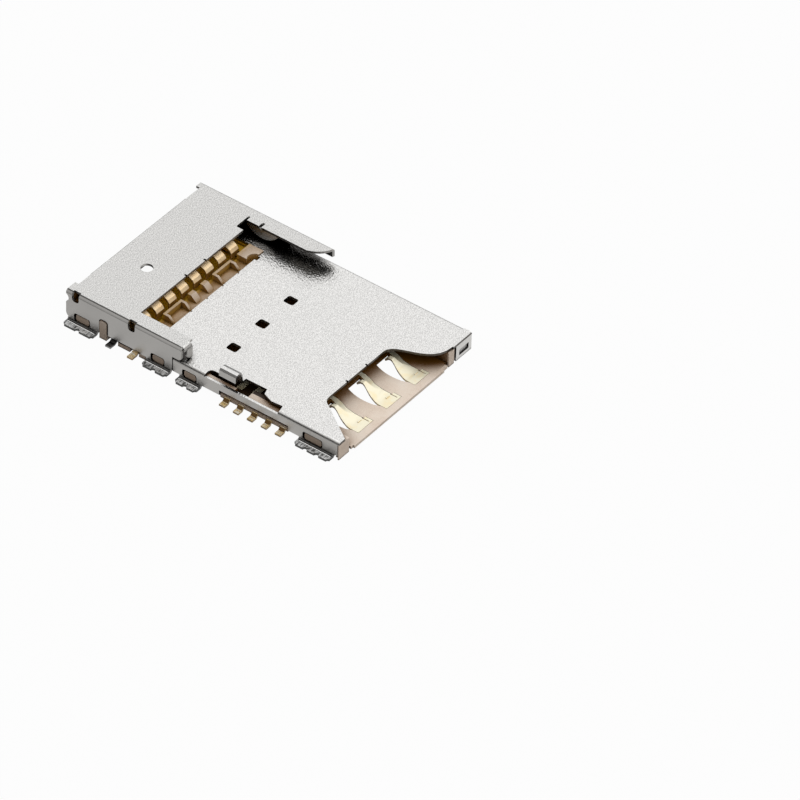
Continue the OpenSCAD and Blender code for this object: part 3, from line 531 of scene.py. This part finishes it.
def makeBeadTin(s):
    mat, tree, shader = newMaterial("beadTin")
    grain = noiseNode(tree, objectPlace(tree), 1 / (s["grainSize"] * mm), s["grainDetail"])
    shader.inputs["Metallic"].default_value = s["metal"]
    linkShader(tree, shader, {
        "Base Color": rampNode(tree, grain, list(zip(s["toneStops"], (s["dark"], s["light"])))),
        "Roughness": variedNode(tree, s["rough"], grain, s["roughShare"]),
        "Normal": bumpNode(tree, grain, s["grainBump"], s["grainHeight"]),
    })
    return mat


def makeBead(name, s, side, span, mat):
    count, around = s["rings"], s["around"]
    along = np.arange(1, count) / count
    angle = np.arange(around) * 2 * np.pi / around
    u, t = np.meshgrid(along, angle, indexing="ij")
    fade = np.sqrt(1 - np.abs(2 * u - 1) ** s["taper"])
    x = side * (s["away"] + s["halfWidth"] * fade * np.cos(t))
    y = span[0] + (span[1] - span[0]) * u
    z = s["sole"] + s["height"] * fade * np.sin(t)
    rings = np.stack([x, y, z], axis=-1).reshape(-1, 3)
    poles = np.array([(side * s["away"], end, s["sole"]) for end in span])
    points = np.concatenate([rings, poles]) * mm
    index = np.arange(len(rings)).reshape(count - 1, around)
    after = np.roll(index, -1, axis=1)
    quads = np.stack([index[:-1], index[1:], after[1:], after[:-1]], axis=-1).reshape(-1, 4)
    first, last = len(rings), len(rings) + 1
    startCap = np.stack([np.full(around, first), index[0], after[0]], axis=-1)
    endCap = np.stack([np.full(around, last), after[-1], index[-1]], axis=-1)
    faces = quads.tolist() + startCap.tolist() + endCap.tolist()
    if side < 0:
        faces = [face[::-1] for face in faces]  # the mirrored side keeps its faces outward
    mesh = bpy.data.meshes.new(name)
    mesh.from_pydata(points.tolist(), [], faces)
    mesh.polygons.foreach_set("use_smooth", [True] * len(faces))
    mesh.materials.append(mat)
    bead = bpy.data.objects.new(name, mesh)
    scene.collection.objects.link(bead)
    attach(bead, "root")


beadMat = makeBeadTin(footBead)
for sideName, side in (("left", -1), ("right", 1)):
    for k, span in enumerate(footBead[sideName]):
        makeBead(f"{sideName}Bead{k + 1}", footBead, side, span, beadMat)
print("beads laid on the feet")

# near-white floor, a sky that darkens to the horizon and to the left, a soft lamp at the right front,
# and a dark card at the left rear whose reflection darkens the folds, beside the dark line painted on the
# rear cover's left fold, lengths in metres
studio = {
    "floor": 3.0, "floorDrop": 0.000002, "paper": 0.50, "whiteShare": 0.965,
    "skySteps": ((0.5, 0.12), (0.575, 0.26), (0.675, 0.62), (0.775, 0.93), (1.0, 1.0)),
    "brightSide": (0.85, -0.53), "sideShare": 0.30, "skyStrength": 1.05,
    "lampPower": 0.06, "lampSize": 0.25, "lampPlace": (0.25, -0.16, 0.36),
    "cardTurn": 150.0, "cardAway": 0.25, "cardWidth": 0.5, "cardHeight": (0.01, 0.20),
    "cardTone": 0.012, "cardRough": 0.9,
}


def addPlane(name, corners):
    mesh = bpy.data.meshes.new(name)
    mesh.from_pydata([tuple(c) for c in corners], [], [(0, 1, 2, 3)])
    plane = bpy.data.objects.new(name, mesh)
    scene.collection.objects.link(plane)
    return plane


def makeFloor(s):
    half = s["floor"]
    low = -s["floorDrop"]
    corners = [(-half, -half, low), (half, -half, low), (half, half, low), (-half, half, low)]
    floor = addPlane("floor", corners)
    mat = bpy.data.materials.new("paleFloor")
    mat.use_nodes = True
    tree = mat.node_tree
    tree.nodes.clear()
    out = addNode(tree, "ShaderNodeOutputMaterial")
    # near-white where it is seen or mirrored, grey paper for the light it throws back
    path = addNode(tree, "ShaderNodeLightPath").outputs
    seen = mathNode(tree, "ADD", path["Is Camera Ray"], path["Is Glossy Ray"])
    seen = mathNode(tree, "ADD", seen, path["Is Transmission Ray"], clamp=True)
    paper = addNode(tree, "ShaderNodeBsdfDiffuse", Color=(*grey(s["paper"]), 1))
    white = addNode(tree, "ShaderNodeEmission", Color=(*grey(1), 1), Strength=1.0)
    share = mathNode(tree, "MULTIPLY", seen, s["whiteShare"])
    mix = addNode(tree, "ShaderNodeMixShader", {0: share, 1: paper.outputs[0], 2: white.outputs[0]})
    tree.links.new(mix.outputs[0], out.inputs["Surface"])
    floor.data.materials.append(mat)


def makeSky(s):
    world = bpy.data.worlds.new("softSky")
    scene.world = world
    world.use_nodes = True
    tree = world.node_tree
    background = tree.nodes["Background"]
    axes = axesNode(tree, addNode(tree, "ShaderNodeTexCoord").outputs["Generated"])
    # from straight down at 0 through the horizon at a half to straight up at 1
    rise = mathNode(tree, "MULTIPLY", mathNode(tree, "ADD", axes["Z"], 1.0), 0.5)
    colour = rampNode(tree, rise, [(at, grey(level)) for at, level in s["skySteps"]])
    # brighter towards one side: 1 + share * (direction along that side)
    along = mathNode(tree, "MULTIPLY", axes["X"], s["brightSide"][0] * s["sideShare"])
    across = mathNode(tree, "MULTIPLY", axes["Y"], s["brightSide"][1] * s["sideShare"])
    level = mathNode(tree, "ADD", mathNode(tree, "ADD", along, across), 1.0)
    strength = mathNode(tree, "MULTIPLY", level, s["skyStrength"])
    tree.links.new(colour, background.inputs["Color"])
    tree.links.new(strength, background.inputs["Strength"])


def makeLampAndCard(s):
    light = bpy.data.lights.new("softBox", "AREA")
    light.energy = s["lampPower"]
    light.size = s["lampSize"]
    lamp = bpy.data.objects.new("softBox", light)
    scene.collection.objects.link(lamp)
    lamp.location = s["lampPlace"]
    lamp.rotation_euler = (-lamp.location).to_track_quat("-Z", "Y").to_euler()
    turn = math.radians(s["cardTurn"])
    middle = Vector((math.cos(turn), math.sin(turn), 0)) * s["cardAway"]
    side = Vector((-math.sin(turn), math.cos(turn), 0)) * s["cardWidth"] / 2
    low, high = (Vector((0, 0, h)) for h in s["cardHeight"])
    left, right = middle - side, middle + side
    card = addPlane("darkCard", [left + low, right + low, right + high, left + high])
    card.visible_camera = False
    mat, tree, shader = newMaterial("blackCard")
    shader.inputs["Base Color"].default_value = (*grey(s["cardTone"]), 1)
    shader.inputs["Roughness"].default_value = s["cardRough"]
    card.data.materials.append(mat)


makeFloor(studio)
makeSky(studio)
makeLampAndCard(studio)
print("studio set")

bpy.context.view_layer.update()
